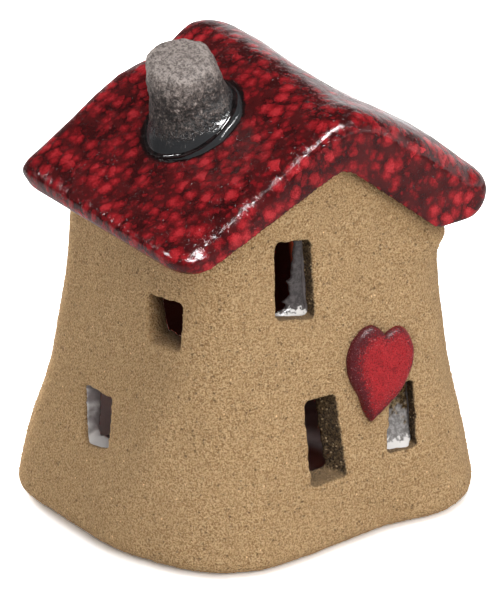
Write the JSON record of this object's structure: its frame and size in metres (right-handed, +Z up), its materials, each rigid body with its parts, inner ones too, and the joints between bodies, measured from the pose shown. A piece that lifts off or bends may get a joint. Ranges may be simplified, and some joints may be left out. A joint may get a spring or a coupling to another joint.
{
  "type": "tealight house",
  "caption": "Stoneware lantern shaped like a small flared house with a draped roof, chimney stub, heart on the front and cut windows, with a tealight standing inside.",
  "frame": {"origin": "middle of the footprint, on the table", "axes": "+Z up, the front gable faces -Y, the roof ridge and eaves run along Y, the rear doorway faces +Y"},
  "size_m": [0.1244, 0.1016, 0.1435],
  "materials": {
    "raw_clay_body": "unglazed grogged stoneware, rough and speckled",
    "red_glaze": "glossy mottled deep red glaze",
    "dark_glaze": "dry dark grey, rough",
    "heart_glaze": "satin red glaze",
    "cup_metal": "thin pressed, satin",
    "sustainer_metal": "satin",
    "wick_cotton": "waxed cotton cord",
    "wax": "candle wax, slightly translucent white"
  },
  "bodies": {
    "house": {"floor_slab": "raw_clay_body", "front_wall": "raw_clay_body", "left_wall": "raw_clay_body", "right_wall": "raw_clay_body", "rear_wall": "raw_clay_body", "roof": "red_glaze", "chimney": "dark_glaze", "heart": "heart_glaze"},
    "tealight": {"tealight_cup": "cup_metal", "tealight_wax": "wax", "wick_sustainer": "sustainer_metal", "wick": "wick_cotton"}
  },
  "joints": [
    {"name": "tealight_lift_out", "type": "slide", "parent": "house", "child": "tealight", "axis": [0, 1, 0], "range_m": [0, 0.085]}
  ]
}
